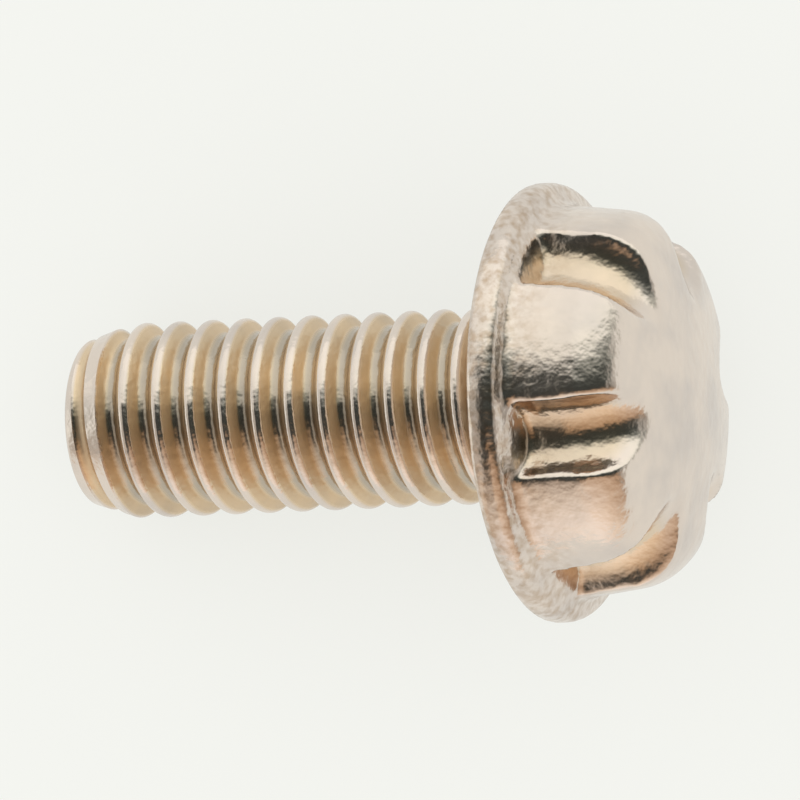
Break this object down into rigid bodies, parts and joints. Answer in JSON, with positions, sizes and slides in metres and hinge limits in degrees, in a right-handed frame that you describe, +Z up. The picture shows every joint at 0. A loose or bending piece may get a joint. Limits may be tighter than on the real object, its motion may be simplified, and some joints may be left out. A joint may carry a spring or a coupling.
{
  "type": "security screw",
  "caption": "Flanged machine screw with a low domed head, round-bottomed drive grooves in the head's side for a matching key socket, and a right-hand metric thread.",
  "frame": {"origin": "Centre of the footprint of the lying screw's box, on the level surface that it lies on", "axes": "+X along the surface from the tip to the head, +Z up; the screw's own axis rises towards the head"},
  "size_m": [0.013, 0.0086, 0.0084],
  "materials": {
    "plated_steel": "polished"
  },
  "bodies": {
    "root": {"screw": "plated_steel"}
  },
  "joints": []
}
